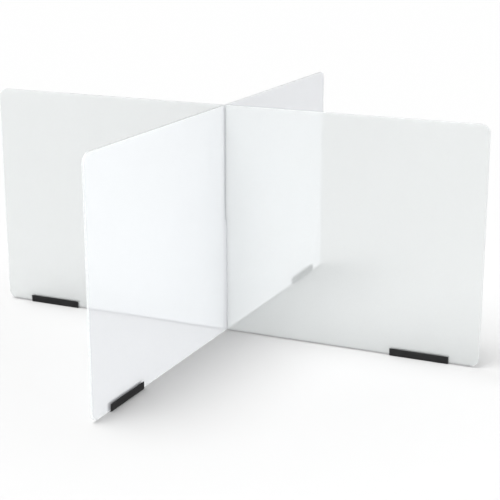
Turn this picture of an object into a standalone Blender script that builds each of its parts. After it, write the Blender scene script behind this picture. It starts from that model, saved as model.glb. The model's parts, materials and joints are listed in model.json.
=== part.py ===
"""Desk privacy panel: two frosted acrylic sheets that slot together into a cross, on four push-on feet.

Units are metres, +Z is up, and the origin is the centre of the crossing, on the desk top.
The lower panel runs front to back (along Y) and its slot opens upwards. The upper panel runs left to
right (along X), its slot opens downwards, and it lifts straight off. The two sheets are the same cut
piece, one of them turned upside down. Each foot is a channel with a grip strip on each inner wall and
an anti-slip pad underneath.
"""

import math

import bmesh
import bpy
from mathutils import Matrix, Vector

# Driving dimensions
PANEL_LENGTH = 1.3716
PANEL_HEIGHT = 0.6015
SHEET_THICKNESS = 0.0048
CORNER_RADIUS = 0.023
FOOT_LENGTH = 0.1524
FOOT_HEIGHT = 0.0190
FOOT_INSET = 0.0762

# Clearances
MESH_GAP = 0.0003
SLOT_SIDE_CLEARANCE = 0.0008
SLOT_END_CLEARANCE = 0.0005

# Edge details of the sheets
POLISHED_EDGE = 0.0004
SLOT_FILLET = 0.0010
SLOT_MOUTH_RADIUS = 0.0015
CORNER_STEPS = 12
SLOT_STEPS = 4
EDGE_SEGMENTS = 2
SHARP_EDGE_DEGREES = 50

# Foot details
WALL_THICKNESS = 0.0014
WEB_THICKNESS = 0.0012
CHANNEL_EDGE = 0.0003
LIP_CHAMFER = 0.0005
GRIP_THICKNESS = 0.0005
GRIP_END_MARGIN = 0.0030
GRIP_EDGE_MARGIN = 0.0012
GRIP_CORNER_RADIUS = 0.0015
PAD_THICKNESS = 0.0008
PAD_WIDTH = 0.0080
PAD_END_MARGIN = 0.0020
PAD_CORNER_RADIUS = 0.0025
SMALL_ARC_STEPS = 4

# Colours, linear RGB
ACRYLIC_COLOUR = (0.93, 0.95, 0.95)
CHANNEL_COLOUR = (0.025, 0.025, 0.026)
RUBBER_COLOUR = (0.015, 0.015, 0.015)

# Worked out from the above
HALF_LENGTH = PANEL_LENGTH / 2
HALF_HEIGHT = PANEL_HEIGHT / 2
HALF_SHEET = SHEET_THICKNESS / 2
SLOT_HALF_WIDTH = HALF_SHEET + SLOT_SIDE_CLEARANCE
WEB_BOTTOM = PAD_THICKNESS + MESH_GAP
WEB_TOP = WEB_BOTTOM + WEB_THICKNESS
SHEET_BOTTOM = WEB_TOP + MESH_GAP
GRIP_INNER = HALF_SHEET + MESH_GAP
GRIP_OUTER = GRIP_INNER + GRIP_THICKNESS
WALL_INNER = GRIP_OUTER + MESH_GAP
WALL_OUTER = WALL_INNER + WALL_THICKNESS
GRIP_BOTTOM = WEB_TOP + GRIP_EDGE_MARGIN
GRIP_TOP = FOOT_HEIGHT - GRIP_EDGE_MARGIN
FOOT_CENTRE = HALF_LENGTH - FOOT_INSET - FOOT_LENGTH / 2

# Each foot's name, the direction from the crossing to it, and its grip strips by side of the sheet
FEET = {
    "foot_front": (Vector((0, -1, 0)), {"grip_left": Vector((-1, 0, 0)), "grip_right": Vector((1, 0, 0))}),
    "foot_back": (Vector((0, 1, 0)), {"grip_left": Vector((-1, 0, 0)), "grip_right": Vector((1, 0, 0))}),
    "foot_left": (Vector((-1, 0, 0)), {"grip_front": Vector((0, -1, 0)), "grip_back": Vector((0, 1, 0))}),
    "foot_right": (Vector((1, 0, 0)), {"grip_front": Vector((0, -1, 0)), "grip_back": Vector((0, 1, 0))}),
}


def clear_scene():
    for obj in list(bpy.data.objects):
        bpy.data.objects.remove(obj)


def make_material(name, colour, roughness, transmission=0.0):
    """A plain Principled material, as the solids only need their colour."""
    material = bpy.data.materials.new(name)
    material.use_nodes = True
    shader = material.node_tree.nodes["Principled BSDF"]
    shader.inputs["Base Color"].default_value = (*colour, 1.0)
    shader.inputs["Roughness"].default_value = roughness
    shader.inputs["Metallic"].default_value = 0.0
    shader.inputs["Transmission Weight"].default_value = transmission
    return material


def arc(centre, radius, start, end, steps):
    """Points on an arc from start to end degrees, both included."""
    points = []
    for step in range(steps + 1):
        angle = math.radians(start + (end - start) * step / steps)
        points.append((centre[0] + radius * math.cos(angle), centre[1] + radius * math.sin(angle)))
    return points


def rounded_rectangle(half_width, half_height, radius, steps):
    """The outline of a rectangle with round corners, anticlockwise about its centre."""
    across = half_width - radius
    up = half_height - radius
    outline = arc((-across, -up), radius, 180, 270, steps)
    outline += arc((across, -up), radius, 270, 360, steps)
    outline += arc((across, up), radius, 0, 90, steps)
    outline += arc((-across, up), radius, 90, 180, steps)
    return outline


def sheet_outline():
    """The cut sheet about its centre: round outer corners and a slot from the middle to the top edge."""
    across = HALF_LENGTH - CORNER_RADIUS
    up = HALF_HEIGHT - CORNER_RADIUS
    slot_bottom = -SLOT_END_CLEARANCE
    mouth_across = SLOT_HALF_WIDTH + SLOT_MOUTH_RADIUS
    mouth_up = HALF_HEIGHT - SLOT_MOUTH_RADIUS
    fillet_across = SLOT_HALF_WIDTH - SLOT_FILLET
    fillet_up = slot_bottom + SLOT_FILLET
    outline = arc((-across, -up), CORNER_RADIUS, 180, 270, CORNER_STEPS)
    outline += arc((across, -up), CORNER_RADIUS, 270, 360, CORNER_STEPS)
    outline += arc((across, up), CORNER_RADIUS, 0, 90, CORNER_STEPS)
    outline += arc((mouth_across, mouth_up), SLOT_MOUTH_RADIUS, 90, 180, SLOT_STEPS)
    outline += arc((fillet_across, fillet_up), SLOT_FILLET, 0, -90, SLOT_STEPS)
    outline += arc((-fillet_across, fillet_up), SLOT_FILLET, 270, 180, SLOT_STEPS)
    outline += arc((-mouth_across, mouth_up), SLOT_MOUTH_RADIUS, 0, 90, SLOT_STEPS)
    outline += arc((-across, up), CORNER_RADIUS, 90, 180, CORNER_STEPS)
    return outline


def channel_outline():
    """The channel's U as (across, height), anticlockwise, with chamfered lips that guide the sheet in."""
    lip = WALL_INNER + LIP_CHAMFER
    lip_bottom = FOOT_HEIGHT - LIP_CHAMFER
    right_side = [(WALL_OUTER, WEB_BOTTOM), (WALL_OUTER, FOOT_HEIGHT), (lip, FOOT_HEIGHT)]
    right_side += [(WALL_INNER, lip_bottom), (WALL_INNER, WEB_TOP)]
    left_side = [(-across, height) for across, height in reversed(right_side)]
    return right_side + left_side


def extrude_outline(name, outline, thickness):
    """A closed mesh: the outline in the XZ plane, half of the thickness to each side of it along Y."""
    mesh = bpy.data.meshes.new(name)
    body = bmesh.new()
    near = [body.verts.new((x, -thickness / 2, z)) for x, z in outline]
    face = body.faces.new(near)
    extruded = bmesh.ops.extrude_face_region(body, geom=[face])
    far = [item for item in extruded["geom"] if isinstance(item, bmesh.types.BMVert)]
    bmesh.ops.translate(body, verts=far, vec=(0, thickness, 0))
    bmesh.ops.recalc_face_normals(body, faces=body.faces)
    body.to_mesh(mesh)
    body.free()
    return mesh


def add_object(name, mesh, material, edge_width=0.0):
    obj = bpy.data.objects.new(name, mesh)
    bpy.context.scene.collection.objects.link(obj)
    if not mesh.materials:
        mesh.materials.append(material)
    if edge_width:
        bevel = obj.modifiers.new("edge", "BEVEL")
        bevel.width = edge_width
        bevel.segments = EDGE_SEGMENTS
        bevel.limit_method = "ANGLE"
        bevel.angle_limit = math.radians(SHARP_EDGE_DEGREES)
    return obj


def add_panels(material):
    """Two sheets from one mesh: the lower one turned to run along Y, the upper one turned over."""
    mesh = extrude_outline("cut_sheet", sheet_outline(), SHEET_THICKNESS)
    centre = (0, 0, SHEET_BOTTOM + HALF_HEIGHT)
    lower = add_object("lower_panel", mesh, material, POLISHED_EDGE)
    lower.location = centre
    lower.rotation_euler = (0, 0, math.radians(90))
    upper = add_object("upper_panel", mesh, material, POLISHED_EDGE)
    upper.location = centre
    upper.rotation_euler = (0, math.radians(180), 0)


def along_edge(direction):
    """Turns a mesh whose length is along Y so that it runs along the given direction."""
    return Matrix.Rotation(math.atan2(direction.y, direction.x) - math.radians(90), 4, "Z")


def add_foot(name, direction, grips, meshes, materials):
    """The parts hang on an empty at the middle of the foot, which slides along the edge of the sheet."""
    slider = bpy.data.objects.new(name + "_slider", None)
    bpy.context.scene.collection.objects.link(slider)
    slider.location = direction * FOOT_CENTRE
    turned = along_edge(direction).to_euler()
    channel = add_object(name + "_channel", meshes["channel"], materials["channel"], CHANNEL_EDGE)
    channel.rotation_euler = turned
    pad = add_object(name + "_pad", meshes["pad"], materials["rubber"])
    pad.rotation_euler = turned
    pad.location.z = PAD_THICKNESS / 2
    channel.parent = slider
    pad.parent = slider
    for grip_name, side in grips.items():
        grip = add_object(name + "_" + grip_name, meshes["grip"], materials["rubber"])
        grip.rotation_euler = along_edge(side).to_euler()
        grip.location = side * (GRIP_INNER + GRIP_OUTER) / 2
        grip.location.z = (GRIP_BOTTOM + GRIP_TOP) / 2
        grip.parent = slider


def grip_mesh():
    """A strip whose faces point along Y, with round corners."""
    half_length = FOOT_LENGTH / 2 - GRIP_END_MARGIN
    half_height = (GRIP_TOP - GRIP_BOTTOM) / 2
    outline = rounded_rectangle(half_length, half_height, GRIP_CORNER_RADIUS, SMALL_ARC_STEPS)
    return extrude_outline("grip_strip", outline, GRIP_THICKNESS)


def pad_mesh():
    """A strip lying flat with its length along Y, with round corners."""
    half_length = FOOT_LENGTH / 2 - PAD_END_MARGIN
    outline = rounded_rectangle(PAD_WIDTH / 2, half_length, PAD_CORNER_RADIUS, SMALL_ARC_STEPS)
    mesh = extrude_outline("anti_slip_pad", outline, PAD_THICKNESS)
    mesh.transform(Matrix.Rotation(math.radians(90), 4, "X"))
    return mesh


def main():
    clear_scene()
    acrylic = make_material("frosted_acrylic", ACRYLIC_COLOUR, roughness=0.25, transmission=0.6)
    materials = {
        "channel": make_material("matte_black_channel", CHANNEL_COLOUR, roughness=0.5),
        "rubber": make_material("black_rubber", RUBBER_COLOUR, roughness=0.85),
    }
    meshes = {
        "channel": extrude_outline("foot_channel", channel_outline(), FOOT_LENGTH),
        "grip": grip_mesh(),
        "pad": pad_mesh(),
    }
    add_panels(acrylic)
    for name, (direction, grips) in FEET.items():
        add_foot(name, direction, grips, meshes, materials)


main()
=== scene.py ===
import json
import math

import bmesh
import bpy
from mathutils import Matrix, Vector

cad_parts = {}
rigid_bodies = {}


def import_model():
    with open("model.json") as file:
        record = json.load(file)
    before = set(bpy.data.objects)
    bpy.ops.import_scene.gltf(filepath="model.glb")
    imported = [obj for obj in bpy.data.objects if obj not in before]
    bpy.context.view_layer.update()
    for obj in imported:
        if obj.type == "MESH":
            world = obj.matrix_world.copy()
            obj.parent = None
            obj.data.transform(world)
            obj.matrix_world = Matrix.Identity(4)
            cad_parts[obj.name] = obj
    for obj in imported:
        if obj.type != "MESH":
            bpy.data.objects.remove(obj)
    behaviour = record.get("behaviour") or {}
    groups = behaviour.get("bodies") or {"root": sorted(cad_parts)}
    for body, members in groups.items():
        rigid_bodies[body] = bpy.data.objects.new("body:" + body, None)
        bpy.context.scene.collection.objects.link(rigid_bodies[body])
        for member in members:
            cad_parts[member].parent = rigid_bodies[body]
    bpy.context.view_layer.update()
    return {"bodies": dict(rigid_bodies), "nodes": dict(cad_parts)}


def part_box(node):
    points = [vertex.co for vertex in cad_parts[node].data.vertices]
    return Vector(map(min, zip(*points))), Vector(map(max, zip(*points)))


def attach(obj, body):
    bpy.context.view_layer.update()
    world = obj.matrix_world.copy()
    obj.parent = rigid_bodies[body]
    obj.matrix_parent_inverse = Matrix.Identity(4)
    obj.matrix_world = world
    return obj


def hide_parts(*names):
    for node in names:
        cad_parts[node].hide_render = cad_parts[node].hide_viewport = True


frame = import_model()

# The sheets, in metres. Their length, height and thickness are read from the frame.
CORNER_RADIUS = 0.023
SLOT_HALF_WIDTH = 0.0032
SLOT_END_CLEARANCE = 0.0005
SLOT_FILLET = 0.0010
SLOT_MOUTH_RADIUS = 0.0015
EDGE_ROUNDING = 0.0004
EDGE_BAND = 0.0014
RESTING_BAND = 0.0016
CORNER_STEPS = 32
SMALL_STEPS = 8
EDGE_STEPS = 4

# The places of a sheet's materials in its list
FACE, RIM, POLISHED, SAWN_SHADED, RESTING = range(5)

# The feet, in metres and degrees. Their outer sizes are read from the frame.
WALL_THICKNESS = 0.0014
WEB_THICKNESS = 0.0012
OUTER_ROUNDING = 0.0005
INNER_ROUNDING = 0.0003
LIP_ROUNDING = 0.0006
ROUNDING_STEPS = 5
END_ROUNDING = 0.0003
END_ROUNDING_STEPS = 3
END_ROUNDING_ANGLE = 60
PAD_GROOVE_PITCH = 0.0040
PAD_GROOVE_WIDTH = 0.0010
PAD_GROOVE_DEPTH = 0.0003
GRIP_RIB_DEPTH = 0.00022
GRIP_RIBS = 9
# The share of a rib's pitch that each of its two slopes takes
GRIP_RIB_SLOPE = 0.3

# Every mesh: edges sharper than this many degrees stay sharp, and points closer than this become one.
SHARP_ANGLE = 35
SAME_POINT = 1e-7

# The camera stands at the front right, a little above the panels. Metres, degrees and millimetres.
CAMERA_PLACE = (1.399, -2.923, 1.134)
CAMERA_TURN = 24.45
CAMERA_TILT = 74.27
CAMERA_LENS = 92.57
CAMERA_SENSOR = 36

# The floor, in metres. Its white changes from near to far between two distances from the crossing, and the
# darker white near the panels is painted shade.
FLOOR_SIZE = 60
FLOOR_SHADED_NEAR = 0.52
FLOOR_FAR = 0.545
FLOOR_NEAR_RADIUS = 0.60
FLOOR_FAR_RADIUS = 1.00

# The world's light. The sky is brighter towards its lean, and the backdrop is what the camera sees of it.
LIGHT_FROM_ABOVE = 0.66
LIGHT_FROM_BELOW = 1.38
SKY_LEAN = (0.35, 0.4, 0)
BACKDROP = 1.0
MIRRORED_LIGHT = 0.05

# The two lamps. Sizes, elevations and turns are in degrees.
LEFT_KEY_STRENGTH = 2.35
LEFT_KEY_SIZE = 34
LEFT_KEY_ELEVATION = 73.5
LEFT_KEY_TURN = -73.5
FRONT_KEY_STRENGTH = 1.6
FRONT_KEY_SIZE = 36
FRONT_KEY_ELEVATION = 62
FRONT_KEY_TURN = -15

# In all materials below, a scale is noise patches to the metre, a depth is metres of bump, a range is where
# in the noise a pattern starts and where it is full, a haze is the share of the light that is scattered, and
# a glow is the share of that which comes out on the other side.
WHITE = (1, 1, 1, 1)
# Noise seldom leaves this range.
NOISE_LOW = 0.3
NOISE_HIGH = 0.7
# Where the Mix node keeps its two levels and its two colours among its inputs, and the blended colour
MIX_LEVELS = slice(2, 4)
MIX_COLOURS = slice(6, 8)
MIX_COLOUR_OUTPUT = 2

# Acrylic, and the least haze that mirrored rays and rays to the lamps meet
ACRYLIC_IOR = 1.49
MIRRORED_HAZE = 0.72
SHADING_HAZE = 0.58

# The satin faces. Their IOR is above acrylic's, for a stronger gloss.
FACE_HAZE = 0.415
FACE_GLOW = 0.69
FACE_IOR = 2.45
FACE_ROUGHNESS = (0.01, 0.06)
FACE_MOTTLING = 0.003
FACE_MOTTLING_SCALE = 7
FACE_SPECKLE = 0.02
FACE_SPECKLE_SCALE = 900
FACE_TINT_SWING = 0.003
FACE_TINT_SCALE = 4
SMEAR_STRETCH = (1, 1, 2.5)
SMEAR_SCALE = 14
SATIN_GRAIN_SCALE = 1600
FACE_GRAIN_DEPTH = 0.0000005
LOWER_TINT = (0.957, 0.972, 0.998)
UPPER_TINT = (0.935, 0.96, 0.957)

# The rims of the faces. They are a little darker, as painted shade for the dark line that the rounded edge
# bends into them.
RIM_HAZE = 0.42
RIM_HAZE_SWING = 0.05
RIM_HAZE_SCALE = 240
RIM_TINT = (0.95, 0.97, 0.975)
RIM_DARKEST = 0.93
RIM_TINT_SCALE = 30
RIM_ROUGHNESS = (0.05, 0.1)
RIM_ROUGHNESS_SCALE = 90
RIM_GRAIN_DEPTH = 0.000003

# The polished edges
EDGE_HAZE = 0.75
EDGE_HAZE_SWING = 0.04
EDGE_WAVE_SCALE = 120
EDGE_WAVE_DEPTH = 0.00001
EDGE_TINT = (0.96, 0.985, 0.99)
EDGE_DULLEST = 0.96
EDGE_ROUGHNESS = (0.12, 0.15)
EDGE_RUB_SCALE = 45
EDGE_RUB_RANGE = (0.55, 0.7)

# The dust on top of them. It starts where the normal's upward part passes the first slope, and is full
# from the second.
DUST_TINT = (0.84, 0.85, 0.85)
DUST_SCALE = 160
DUST_COVER = (0.75, 1)
DUST_SLOPE = (0.2, 0.9)

# The edges over the desk. The upper sheet's is painted dark, as painted contact shade where it stands on the
# desk.
RESTING_HAZE = 0.65
RESTING_GLOW = 0.3
RESTING_ROUGHNESS = (0.4, 0.6)
RESTING_DARKEST = 0.8
SCUFF_SCALE = 180
SCUFF_GRAIN_SCALE = 500
SCUFF_GRAIN_DEPTH = 0.00003
CLEAN_TINT = (0.96, 0.975, 0.98)
# Painted contact shade: the dark tint of the upper sheet's edge over the desk
CONTACT_SHADE_TINT = (0.33, 0.33, 0.335)

# The slots' sawn sides. Their dark grey is painted shade, for the shade inside the narrow slot. The saw marks
# are the sides' own.
SAWN_HAZE = 0.85
SAWN_HAZE_SWING = 0.05
SAWN_GLOW = 0.5
SAWN_ROUGHNESS = 0.5
# Painted shade: the dark grey of the slot's sides
SAWN_SLOT_SHADE_TINT = (0.42, 0.43, 0.45)
SAWN_DARKEST = 0.75
SAW_MARK_SCALES = (60, 60, 1400)
SAW_MARK_DEPTH = 0.00008

# Black plastic
PLASTIC_IOR = 1.46
PLASTIC_DARK = (0.013, 0.013, 0.0135)
PLASTIC_PALE = (0.021, 0.021, 0.022)
PLASTIC_PATCH_SCALE = 55
PLASTIC_LINE_COLOUR = (0.034, 0.034, 0.035)
PLASTIC_LINE_SHARE = 0.35
PLASTIC_SCALE_ALONG = 12
PLASTIC_SCALE_ACROSS = 900
# Paler colour on the edges: partly wear, partly painted highlight
PLASTIC_WORN_HIGHLIT_COLOUR = (0.085, 0.085, 0.088)
PLASTIC_WORN_SHARE = (0.1, 0.9)
PLASTIC_WEAR_SCALE = 320
PLASTIC_WEAR_RADIUS = 0.0006
PLASTIC_ROUGHNESS = (0.42, 0.56)
PLASTIC_PATCH_ROUGHNESS = 0.08
PLASTIC_GRAIN_SCALE = 2200
PLASTIC_GRAIN_DEPTH = 0.00005
PLASTIC_GRAIN_SHARE = 0.4
# How well the true and the rounded normal agree on a worn, highlit edge and on a flat side
WORN_AGREEMENT = 0.86
FLAT_AGREEMENT = 0.995

# Black rubber
RUBBER_IOR = 1.45
RUBBER_DARK = (0.009, 0.009, 0.009)
RUBBER_PALE = (0.018, 0.018, 0.018)
RUBBER_ROUGHNESS = (0.78, 0.95)
RUBBER_PIT_SCALE = 1500
RUBBER_PIT_DEPTH = 0.00008
RUBBER_DUST_COLOUR = (0.06, 0.058, 0.055)
RUBBER_DUST_SHARE = (0, 0.5)
RUBBER_DUST_SCALE = 130
RUBBER_DUST_RANGE = (0.5, 0.75)


# ---------------------------------------------------------------- meshes

def arc(centre, radius, start, end, steps):
    """Points on an arc from start to end degrees, both included."""
    angles = [math.radians(start + (end - start) * step / steps) for step in range(steps + 1)]
    return [(centre[0] + radius * math.cos(a), centre[1] + radius * math.sin(a)) for a in angles]


def length_axis_of(node):
    """0 where the node's longer level side is along X, and 1 where it is along Y."""
    low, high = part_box(node)
    size = high - low
    return 0 if size.x > size.y else 1


def finished(body, name, materials):
    """The bmesh as an object with its faces pointing out and its sharp edges marked."""
    bmesh.ops.remove_doubles(body, verts=body.verts, dist=SAME_POINT)
    bmesh.ops.recalc_face_normals(body, faces=body.faces)
    mesh = bpy.data.meshes.new(name)
    body.to_mesh(mesh)
    body.free()
    mesh.shade_smooth()
    mesh.set_sharp_from_angle(angle=math.radians(SHARP_ANGLE))
    for material in materials:
        mesh.materials.append(material)
    obj = bpy.data.objects.new(name, mesh)
    bpy.context.scene.collection.objects.link(obj)
    return obj


def stands_for(piece, node):
    """The piece takes the CAD node's place on the body that the node rides on."""
    body = node if node in frame["bodies"] else "_".join(node.split("_")[:2])
    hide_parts(node)
    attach(piece, body)


def sheet_outline(half_length, half_height, inwards):
    """The sheet's outline about its centre, slot upwards, moved into the material by inwards.

    Comes with the places in it where the slot starts and ends.
    """
    corner = CORNER_RADIUS - inwards
    mouth = SLOT_MOUTH_RADIUS - inwards
    fillet = SLOT_FILLET + inwards
    across = half_length - CORNER_RADIUS
    up = half_height - CORNER_RADIUS
    mouth_across = SLOT_HALF_WIDTH + SLOT_MOUTH_RADIUS
    mouth_up = half_height - SLOT_MOUTH_RADIUS
    fillet_across = SLOT_HALF_WIDTH - SLOT_FILLET
    fillet_up = SLOT_FILLET - SLOT_END_CLEARANCE
    points = arc((-across, -up), corner, 180, 270, CORNER_STEPS)
    points += arc((across, -up), corner, 270, 360, CORNER_STEPS)
    points += arc((across, up), corner, 0, 90, CORNER_STEPS)
    slot_start = len(points)
    points += arc((mouth_across, mouth_up), mouth, 90, 180, SMALL_STEPS)
    points += arc((fillet_across, fillet_up), fillet, 0, -90, SMALL_STEPS)
    points += arc((-fillet_across, fillet_up), fillet, 270, 180, SMALL_STEPS)
    points += arc((-mouth_across, mouth_up), mouth, 0, 90, SMALL_STEPS)
    slot_end = len(points) - 1
    points += arc((-across, up), corner, 90, 180, CORNER_STEPS)
    return points, slot_start, slot_end


def edge_section(half_thickness):
    """How the sheet's edge is rounded: (how far inwards, place across the sheet), face to face."""
    rings = [(EDGE_BAND, -half_thickness)]
    for step in range(EDGE_STEPS + 1):
        angle = math.radians(90 * step / EDGE_STEPS)
        inwards = EDGE_ROUNDING * (1 - math.sin(angle))
        rings.append((inwards, -half_thickness + EDGE_ROUNDING * (1 - math.cos(angle))))
    return rings + [(inwards, -place) for inwards, place in reversed(rings)]


def sheet_rings(body, node, upside_down):
    """The sheet's outline again and again, from one face round the edge to the other, and its slot."""
    low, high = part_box(node)
    size = high - low
    centre = (low + high) / 2
    length_axis = length_axis_of(node)
    across_axis = 1 - length_axis
    flip = -1 if upside_down else 1
    rings = []
    for inwards, place in edge_section(size[across_axis] / 2):
        outline, slot_start, slot_end = sheet_outline(size[length_axis] / 2, size.z / 2, inwards)
        ring = []
        for along, up in outline:
            point = Vector((0, 0, flip * up))
            point[length_axis] = along
            point[across_axis] = place
            ring.append(body.verts.new(centre + point))
        rings.append(ring)
    return rings, range(slot_start, slot_end)


def make_sheet(name, node, upside_down, materials):
    """A cut sheet: satin faces, a rim of painted shade along each, polished edges, and a sawn slot whose
    sides carry painted shade.

    The edge over the desk has a material of its own. On the upper sheet, it carries painted contact shade.
    """
    body = bmesh.new()
    rings, slot = sheet_rings(body, node, upside_down)
    resting_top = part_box(node)[0].z + RESTING_BAND
    rim_strips = (0, len(rings) - 2)
    for strip, (first, second) in enumerate(zip(rings, rings[1:])):
        for k in range(len(first)):
            after = (k + 1) % len(first)
            face = body.faces.new((first[k], first[after], second[after], second[k]))
            if max(corner.co.z for corner in face.verts) < resting_top:
                face.material_index = RESTING
            elif strip in rim_strips:
                face.material_index = RIM
            # The slot's sides take the sawn material with its painted shade.
            elif k in slot:
                face.material_index = SAWN_SHADED
            else:
                face.material_index = POLISHED
    for ring in (rings[0], rings[-1]):
        body.faces.new(ring).material_index = FACE
    sheet = finished(body, name, materials)
    stands_for(sheet, node)


def extrude_along(body, outline, start, end, length_axis):
    """A closed prism: the (across, up) outline from start to end along X or Y."""
    ends = []
    for along in (start, end):
        ring = []
        for across, up in outline:
            point = Vector((across, across, up))
            point[length_axis] = along
            ring.append(body.verts.new(point))
        ends.append(ring)
    first, second = ends
    for k in range(len(outline)):
        after = (k + 1) % len(outline)
        body.faces.new((first[k], first[after], second[after], second[k]))
    body.faces.new(first)
    body.faces.new(second)


def channel_outline(half_width, bottom, top):
    """The channel's U as (across, up): round outer corners, small inner fillets, round lips."""
    lip = LIP_ROUNDING
    outer = OUTER_ROUNDING
    inner = INNER_ROUNDING
    wall_inside = half_width - WALL_THICKNESS
    web_top = bottom + WEB_THICKNESS
    side = arc((half_width - outer, bottom + outer), outer, 270, 360, ROUNDING_STEPS)
    side += arc((half_width - lip, top - lip), lip, 0, 90, ROUNDING_STEPS)
    side += arc((wall_inside + lip, top - lip), lip, 90, 180, ROUNDING_STEPS)
    side += arc((wall_inside - inner, web_top + inner), inner, 0, -90, ROUNDING_STEPS)
    return side + [(-across, up) for across, up in reversed(side)]


def make_channel(node, materials):
    """A foot's channel, with its end edges rounded off."""
    low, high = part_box(node)
    length_axis = length_axis_of(node)
    across_axis = 1 - length_axis
    outline = channel_outline((high - low)[across_axis] / 2, low.z, high.z)
    body = bmesh.new()
    extrude_along(body, outline, low[length_axis], high[length_axis], length_axis)
    channel = finished(body, node + "_body", [materials[length_axis]])
    rounding = channel.modifiers.new("rounded_ends", "BEVEL")
    rounding.width = END_ROUNDING
    rounding.segments = END_ROUNDING_STEPS
    rounding.limit_method = "ANGLE"
    rounding.angle_limit = math.radians(END_ROUNDING_ANGLE)
    stands_for(channel, node)


def make_grip(node, material):
    """A strip with ribs along it on the side that presses on the sheet."""
    low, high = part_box(node)
    length_axis = length_axis_of(node)
    across_axis = 1 - length_axis
    sides = (low[across_axis], high[across_axis])
    near, far = sorted(sides, key=abs)
    valley = near + math.copysign(GRIP_RIB_DEPTH, near)
    pitch = (high.z - low.z) / GRIP_RIBS
    outline = [(far, high.z), (far, low.z)]
    for rib in range(GRIP_RIBS):
        start = low.z + rib * pitch
        outline.append((valley, start))
        outline.append((near, start + GRIP_RIB_SLOPE * pitch))
        outline.append((near, start + (1 - GRIP_RIB_SLOPE) * pitch))
    outline.append((valley, high.z))
    body = bmesh.new()
    extrude_along(body, outline, low[length_axis], high[length_axis], length_axis)
    grip = finished(body, node + "_strip", [material])
    stands_for(grip, node)


def make_pad(node, material):
    """A strip under the foot with grooves across it underneath."""
    low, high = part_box(node)
    length_axis = length_axis_of(node)
    across_axis = 1 - length_axis
    start, end = low[length_axis], high[length_axis]
    grooves = int((end - start) / PAD_GROOVE_PITCH) - 1
    first = (start + end - (grooves - 1) * PAD_GROOVE_PITCH) / 2
    groove_top = low.z + PAD_GROOVE_DEPTH
    outline = [(end, high.z), (start, high.z), (start, low.z)]
    for groove in range(grooves):
        middle = first + groove * PAD_GROOVE_PITCH
        outline.append((middle - PAD_GROOVE_WIDTH / 2, low.z))
        outline.append((middle - PAD_GROOVE_WIDTH / 4, groove_top))
        outline.append((middle + PAD_GROOVE_WIDTH / 4, groove_top))
        outline.append((middle + PAD_GROOVE_WIDTH / 2, low.z))
    outline.append((end, low.z))
    body = bmesh.new()
    extrude_along(body, outline, low[across_axis], high[across_axis], across_axis)
    pad = finished(body, node + "_tread", [material])
    stands_for(pad, node)


# ---------------------------------------------------------------- materials

def new_material(name):
    """An empty material and its node tree."""
    material = bpy.data.materials.new(name)
    material.use_nodes = True
    tree = material.node_tree
    tree.nodes.clear()
    return material, tree


def fill(tree, socket, value):
    """Sets an input, or links it when the value is another node's output."""
    if isinstance(value, bpy.types.NodeSocket):
        tree.links.new(value, socket)
    else:
        socket.default_value = value


def add(tree, kind, **inputs):
    """A node of this kind, with its named inputs set or linked."""
    node = tree.nodes.new(kind)
    for key, value in inputs.items():
        fill(tree, node.inputs[key.replace("_", " ")], value)
    return node


def maths(tree, operation, first, second=0):
    """A number worked out from two numbers."""
    node = tree.nodes.new("ShaderNodeMath")
    node.operation = operation
    fill(tree, node.inputs[0], first)
    fill(tree, node.inputs[1], second)
    return node.outputs[0]


def vector_maths(tree, operation, first, second=(0, 0, 0)):
    """A number worked out from one vector or two."""
    node = tree.nodes.new("ShaderNodeVectorMath")
    node.operation = operation
    fill(tree, node.inputs[0], first)
    fill(tree, node.inputs[1], second)
    return node.outputs["Value"]


def noise(tree, place, scale, detail=2):
    """Noise from 0 to 1."""
    return add(tree, "ShaderNodeTexNoise", Vector=place, Scale=scale, Detail=detail).outputs[0]


def spread(tree, value, low, high, start=NOISE_LOW, end=NOISE_HIGH):
    """A value between start and end, turned into one between low and high."""
    node = add(tree, "ShaderNodeMapRange", Value=value, From_Min=start, From_Max=end, To_Min=low, To_Max=high)
    return node.outputs[0]


def around(tree, pattern, level, swing):
    """The level, give or take the swing, as the noise pattern goes."""
    return spread(tree, pattern, level - swing, level + swing)


def stretched(tree, place, scales):
    """The place with each axis multiplied, so that a pattern runs along an axis."""
    node = tree.nodes.new("ShaderNodeMapping")
    fill(tree, node.inputs["Vector"], place)
    node.inputs["Scale"].default_value = scales
    return node.outputs[0]


def shade(colour, factor):
    """The colour made darker or paler, with no channel past 1."""
    return tuple(min(1.0, channel * factor) for channel in colour)


def blend_colours(tree, share, first, second):
    """The first colour where the share is 0 and the second where it is 1."""
    mix = tree.nodes.new("ShaderNodeMix")
    mix.data_type = "RGBA"
    fill(tree, mix.inputs[0], share)
    for socket, colour in zip(mix.inputs[MIX_COLOURS], (first, second)):
        fill(tree, socket, colour if isinstance(colour, bpy.types.NodeSocket) else (*colour, 1))
    return mix.outputs[MIX_COLOUR_OUTPUT]


def blend_levels(tree, share, first, second):
    """The first number where the share is 0 and the second where it is 1."""
    mix = tree.nodes.new("ShaderNodeMix")
    fill(tree, mix.inputs[0], share)
    for socket, level in zip(mix.inputs[MIX_LEVELS], (first, second)):
        fill(tree, socket, level)
    return mix.outputs[0]


def mottled(tree, pattern, tint, darkest):
    """The tint, which the noise pattern darkens down to this share of it."""
    return blend_colours(tree, spread(tree, pattern, 0, 1), shade(tint, darkest), tint)


def mix_shader(tree, share, first, second):
    """The first surface where the share is 0 and the second where it is 1."""
    mix = tree.nodes.new("ShaderNodeMixShader")
    fill(tree, mix.inputs[0], share)
    tree.links.new(first, mix.inputs[1])
    tree.links.new(second, mix.inputs[2])
    return mix.outputs[0]


def bump(tree, height, depth):
    """A normal that follows the height, which is this deep in all."""
    return add(tree, "ShaderNodeBump", Height=height, Distance=depth, Strength=1).outputs[0]


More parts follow.
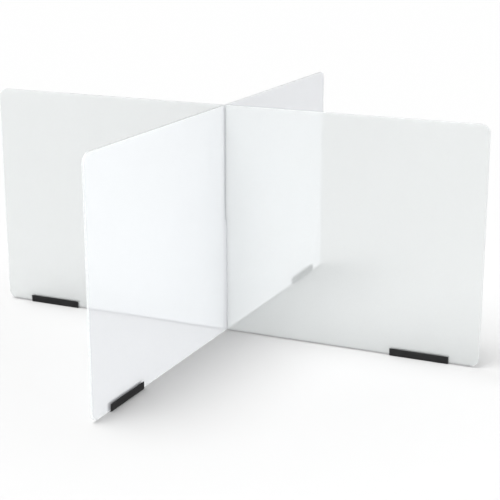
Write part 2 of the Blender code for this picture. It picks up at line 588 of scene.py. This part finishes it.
def show(tree, surface):
    """Makes the surface the material's result."""
    out = tree.nodes.new("ShaderNodeOutputMaterial")
    tree.links.new(surface, out.inputs["Surface"])


def object_place(tree):
    """The place on the object, in metres."""
    return tree.nodes.new("ShaderNodeTexCoord").outputs["Object"]


def geometry(tree, output):
    """What the geometry says about the surface where a ray meets it."""
    return tree.nodes.new("ShaderNodeNewGeometry").outputs[output]


def haze_for_ray(tree, haze):
    """The haze, raised for mirrored rays and for rays on their way to a lamp."""
    path = tree.nodes.new("ShaderNodeLightPath")
    mirrored = maths(tree, "MULTIPLY", path.outputs["Is Glossy Ray"], MIRRORED_HAZE)
    shading = maths(tree, "MULTIPLY", path.outputs["Is Shadow Ray"], SHADING_HAZE)
    return maths(tree, "MAXIMUM", haze, maths(tree, "MAXIMUM", mirrored, shading))


def milky(tree, haze, colour, glow, ior, roughness, normal):
    """Acrylic: part of the light goes straight through, the rest is scattered to both sides.

    The gloss is on the outside of the sheet only, because nothing bends the light on its way out.
    """
    clear = add(tree, "ShaderNodeBsdfTransparent", Color=WHITE)
    back = add(tree, "ShaderNodeBsdfDiffuse", Color=colour, Normal=normal)
    through = add(tree, "ShaderNodeBsdfTranslucent", Color=colour, Normal=normal)
    scatter = mix_shader(tree, glow, back.outputs[0], through.outputs[0])
    body = mix_shader(tree, haze_for_ray(tree, haze), clear.outputs[0], scatter)
    gloss = add(tree, "ShaderNodeBsdfGlossy", Color=WHITE, Roughness=roughness, Normal=normal)
    fresnel = add(tree, "ShaderNodeFresnel", IOR=ior)
    outside = maths(tree, "SUBTRACT", 1, geometry(tree, "Backfacing"))
    share = maths(tree, "MULTIPLY", fresnel.outputs[0], outside)
    show(tree, mix_shader(tree, share, body, gloss.outputs[0]))


def opaque(tree, colour, roughness, ior, normal):
    """A body that no light goes through, with a soft gloss."""
    body = add(tree, "ShaderNodeBsdfPrincipled", Base_Color=colour, Roughness=roughness, Normal=normal)
    body.inputs["IOR"].default_value = ior
    show(tree, body.outputs[0])


def frosted_face(name, tint):
    """The satin face: fine grain, soft mottling of the haze, and handling marks in the gloss."""
    material, tree = new_material(name)
    place = object_place(tree)
    mottling = around(tree, noise(tree, place, FACE_MOTTLING_SCALE, detail=3), 0, FACE_MOTTLING)
    speckle = around(tree, noise(tree, place, FACE_SPECKLE_SCALE), 0, FACE_SPECKLE)
    haze = maths(tree, "ADD", maths(tree, "ADD", mottling, speckle), FACE_HAZE)
    patches = spread(tree, noise(tree, place, FACE_TINT_SCALE), 0, 1)
    darker = shade(tint, 1 - FACE_TINT_SWING)
    paler = shade(tint, 1 + FACE_TINT_SWING)
    colour = blend_colours(tree, patches, darker, paler)
    smears = noise(tree, stretched(tree, place, SMEAR_STRETCH), SMEAR_SCALE, detail=5)
    roughness = spread(tree, smears, *FACE_ROUGHNESS)
    normal = bump(tree, noise(tree, place, SATIN_GRAIN_SCALE, detail=3), FACE_GRAIN_DEPTH)
    milky(tree, haze, colour, FACE_GLOW, FACE_IOR, roughness, normal)
    return material


def rim():
    """The narrow band beside the rounded edge, a little darker than the face: painted shade for the dark line
    that the rounded edge bends into it.
    """
    material, tree = new_material("sheet_rim")
    place = object_place(tree)
    haze = around(tree, noise(tree, place, RIM_HAZE_SCALE, detail=3), RIM_HAZE, RIM_HAZE_SWING)
    # Painted shade: the rim's colour, darker than the face's
    colour = mottled(tree, noise(tree, place, RIM_TINT_SCALE, detail=3), RIM_TINT, RIM_DARKEST)
    roughness = spread(tree, noise(tree, place, RIM_ROUGHNESS_SCALE, detail=3), *RIM_ROUGHNESS)
    normal = bump(tree, noise(tree, place, SATIN_GRAIN_SCALE, detail=3), RIM_GRAIN_DEPTH)
    milky(tree, haze, colour, FACE_GLOW, FACE_IOR, roughness, normal)
    return material


def settled_dust(tree, place):
    """How much dust lies on a surface: most where it faces up."""
    upwards = add(tree, "ShaderNodeSeparateXYZ", Vector=geometry(tree, "Normal")).outputs["Z"]
    facing = spread(tree, upwards, 0, 1, *DUST_SLOPE)
    cover = spread(tree, noise(tree, place, DUST_SCALE, detail=4), *DUST_COVER)
    return maths(tree, "MULTIPLY", facing, cover)


def polished_edge():
    """The flame-polished edge: long shallow waves, a few dull, rubbed spots, and dust on top."""
    material, tree = new_material("polished_edge")
    place = object_place(tree)
    waves = noise(tree, place, EDGE_WAVE_SCALE)
    rubbed = spread(tree, noise(tree, place, EDGE_RUB_SCALE, detail=4), 0, 1, *EDGE_RUB_RANGE)
    haze = around(tree, waves, EDGE_HAZE, EDGE_HAZE_SWING)
    colour = blend_colours(tree, rubbed, EDGE_TINT, shade(EDGE_TINT, EDGE_DULLEST))
    colour = blend_colours(tree, settled_dust(tree, place), colour, DUST_TINT)
    roughness = spread(tree, rubbed, *EDGE_ROUGHNESS, start=0, end=1)
    milky(tree, haze, colour, FACE_GLOW, ACRYLIC_IOR, roughness, bump(tree, waves, EDGE_WAVE_DEPTH))
    return material


def resting_edge(name, tint):
    """The scuffed edge over the desk: clean and pale, or painted dark so that it reads as a thin dark line of
    contact shade.
    """
    material, tree = new_material(name)
    place = object_place(tree)
    scuffs = spread(tree, noise(tree, place, SCUFF_SCALE, detail=4), 0, 1)
    colour = blend_colours(tree, scuffs, shade(tint, RESTING_DARKEST), tint)
    roughness = spread(tree, scuffs, *RESTING_ROUGHNESS, start=0, end=1)
    normal = bump(tree, noise(tree, place, SCUFF_GRAIN_SCALE, detail=3), SCUFF_GRAIN_DEPTH)
    milky(tree, RESTING_HAZE, colour, RESTING_GLOW, ACRYLIC_IOR, roughness, normal)
    return material


def sawn_edge_slot_shade():
    """The slot's sides, left as sawn, with saw marks across the sheet. Their matte dark grey is painted
    shade, for the shade inside the narrow slot.
    """
    material, tree = new_material("sawn_edge_slot_shade")
    marks = noise(tree, stretched(tree, object_place(tree), SAW_MARK_SCALES), 1, detail=3)
    haze = around(tree, marks, SAWN_HAZE, SAWN_HAZE_SWING)
    colour = mottled(tree, marks, SAWN_SLOT_SHADE_TINT, SAWN_DARKEST)
    normal = bump(tree, marks, SAW_MARK_DEPTH)
    milky(tree, haze, colour, SAWN_GLOW, ACRYLIC_IOR, SAWN_ROUGHNESS, normal)
    return material


def edge_wear_and_highlight(tree, radius):
    """Near 1 on a piece's edges and 0 on its flat sides: where wear and a painted highlight go."""
    rounded = add(tree, "ShaderNodeBevel", Radius=radius).outputs[0]
    agreement = vector_maths(tree, "DOT_PRODUCT", rounded, geometry(tree, "Normal"))
    return spread(tree, agreement, 1, 0, WORN_AGREEMENT, FLAT_AGREEMENT)


def black_plastic(name, along):
    """Extruded matte plastic: fine grain, soft patches, drawing lines along it, and paler edges, partly
    rubbed wear and partly a painted highlight where the edges catch the light.
    """
    material, tree = new_material(name)
    place = object_place(tree)
    scales = [PLASTIC_SCALE_ACROSS] * 3
    scales[along] = PLASTIC_SCALE_ALONG
    lines = noise(tree, stretched(tree, place, scales), 1, detail=4)
    grain = noise(tree, place, PLASTIC_GRAIN_SCALE, detail=3)
    patches = spread(tree, noise(tree, place, PLASTIC_PATCH_SCALE, detail=4), 0, 1)
    wear = spread(tree, noise(tree, place, PLASTIC_WEAR_SCALE, detail=4), *PLASTIC_WORN_SHARE)
    worn_and_highlit = maths(tree, "MULTIPLY", edge_wear_and_highlight(tree, PLASTIC_WEAR_RADIUS), wear)
    colour = blend_colours(tree, patches, PLASTIC_DARK, PLASTIC_PALE)
    colour = blend_colours(tree, spread(tree, lines, 0, PLASTIC_LINE_SHARE), colour, PLASTIC_LINE_COLOUR)
    # Paler edges: partly rubbed wear, partly painted highlight.
    colour = blend_colours(tree, worn_and_highlit, colour, PLASTIC_WORN_HIGHLIT_COLOUR)
    patch_roughness = spread(tree, patches, 0, PLASTIC_PATCH_ROUGHNESS, start=0, end=1)
    roughness = maths(tree, "ADD", spread(tree, lines, *PLASTIC_ROUGHNESS), patch_roughness)
    line_height = maths(tree, "MULTIPLY", lines, 1 - PLASTIC_GRAIN_SHARE)
    height = maths(tree, "ADD", line_height, maths(tree, "MULTIPLY", grain, PLASTIC_GRAIN_SHARE))
    opaque(tree, colour, roughness, PLASTIC_IOR, bump(tree, height, PLASTIC_GRAIN_DEPTH))
    return material


def black_rubber():
    """Soft rubber: dull and finely pitted, with a little pale dust."""
    material, tree = new_material("soft_black_rubber")
    place = object_place(tree)
    pits = noise(tree, place, RUBBER_PIT_SCALE, detail=4)
    dust = noise(tree, place, RUBBER_DUST_SCALE, detail=5)
    dust_share = spread(tree, dust, *RUBBER_DUST_SHARE, *RUBBER_DUST_RANGE)
    colour = blend_colours(tree, spread(tree, pits, 0, 1), RUBBER_DARK, RUBBER_PALE)
    colour = blend_colours(tree, dust_share, colour, RUBBER_DUST_COLOUR)
    roughness = spread(tree, pits, *RUBBER_ROUGHNESS)
    opaque(tree, colour, roughness, RUBBER_IOR, bump(tree, pits, RUBBER_PIT_DEPTH))
    return material


def floor_white():
    """Plain white, with painted shade: a little darker close to the panels."""
    material, tree = new_material("floor_white")
    distance = vector_maths(tree, "LENGTH", object_place(tree))
    far = spread(tree, distance, 0, 1, FLOOR_NEAR_RADIUS, FLOOR_FAR_RADIUS)
    # Painted shade: the floor darker near the crossing
    colour = blend_colours(tree, far, (FLOOR_SHADED_NEAR,) * 3, (FLOOR_FAR,) * 3)
    show(tree, add(tree, "ShaderNodeBsdfDiffuse", Color=colour).outputs[0])
    return material


# ---------------------------------------------------------------- stage

def make_camera():
    data = bpy.data.cameras.new("camera")
    data.lens = CAMERA_LENS
    data.sensor_width = CAMERA_SENSOR
    camera = bpy.data.objects.new("camera", data)
    camera.location = CAMERA_PLACE
    camera.rotation_euler = (math.radians(CAMERA_TILT), 0, math.radians(CAMERA_TURN))
    bpy.context.scene.collection.objects.link(camera)
    bpy.context.scene.camera = camera


def make_floor():
    """The floor takes the shadows. The light that a white floor gives back comes from the world instead."""
    bpy.ops.mesh.primitive_plane_add(size=FLOOR_SIZE)
    floor = bpy.context.object
    floor.name = "floor"
    floor.data.materials.append(floor_white())
    floor.visible_glossy = False
    floor.visible_diffuse = False
    floor.visible_shadow = False


def make_world():
    """Soft light from above and from the white floor, plain white behind, a dark studio in the gloss."""
    world = bpy.data.worlds.new("studio")
    bpy.context.scene.world = world
    world.use_nodes = True
    tree = world.node_tree
    direction = tree.nodes.new("ShaderNodeTexCoord").outputs["Generated"]
    height = add(tree, "ShaderNodeSeparateXYZ", Vector=direction).outputs["Z"]
    lean = vector_maths(tree, "DOT_PRODUCT", direction, SKY_LEAN)
    sky = maths(tree, "MULTIPLY", maths(tree, "ADD", lean, 1), LIGHT_FROM_ABOVE)
    path = tree.nodes.new("ShaderNodeLightPath")
    level = blend_levels(tree, maths(tree, "GREATER_THAN", height), LIGHT_FROM_BELOW, sky)
    level = blend_levels(tree, path.outputs["Is Camera Ray"], level, BACKDROP)
    level = blend_levels(tree, path.outputs["Is Glossy Ray"], level, MIRRORED_LIGHT)
    background = tree.nodes["Background"]
    background.inputs["Color"].default_value = WHITE
    tree.links.new(level, background.inputs["Strength"])


def make_key(name, strength, size, elevation, turn):
    """A wide, distant lamp. Its light travels along +Y at turn 0 and along +X at turn -90."""
    data = bpy.data.lights.new(name, "SUN")
    data.energy = strength
    data.angle = math.radians(size)
    key = bpy.data.objects.new(name, data)
    key.rotation_euler = (math.radians(90 - elevation), 0, math.radians(turn))
    bpy.context.scene.collection.objects.link(key)


def make_stage():
    """The camera, the floor and the light."""
    make_camera()
    make_floor()
    make_world()
    make_key("left_key", LEFT_KEY_STRENGTH, LEFT_KEY_SIZE, LEFT_KEY_ELEVATION, LEFT_KEY_TURN)
    make_key("front_key", FRONT_KEY_STRENGTH, FRONT_KEY_SIZE, FRONT_KEY_ELEVATION, FRONT_KEY_TURN)
    bpy.context.scene.view_settings.view_transform = "Standard"


def make_sheets():
    """The two sheets. Only the upper one has painted contact shade along the desk."""
    shared = [rim(), polished_edge(), sawn_edge_slot_shade()]
    lower_face = frosted_face("lower_frosted_face", LOWER_TINT)
    upper_face = frosted_face("upper_frosted_face", UPPER_TINT)
    clean = resting_edge("clean_resting_edge", CLEAN_TINT)
    # The upper sheet's edge over the desk is painted dark, as contact shade.
    contact_shaded = resting_edge("contact_shaded_resting_edge", CONTACT_SHADE_TINT)
    make_sheet("lower_sheet", "lower_panel", False, [lower_face] + shared + [clean])
    make_sheet("upper_sheet", "upper_panel", True, [upper_face] + shared + [contact_shaded])


def make_feet():
    """The pieces of the four feet. The channels' drawing lines run along each channel."""
    plastic = [black_plastic("black_plastic_x", 0), black_plastic("black_plastic_y", 1)]
    rubber = black_rubber()
    for node in sorted(frame["nodes"]):
        if node.endswith("_channel"):
            make_channel(node, plastic)
        elif node.endswith("_pad"):
            make_pad(node, rubber)
        elif "_grip_" in node:
            make_grip(node, rubber)


make_stage()
make_sheets()
make_feet()
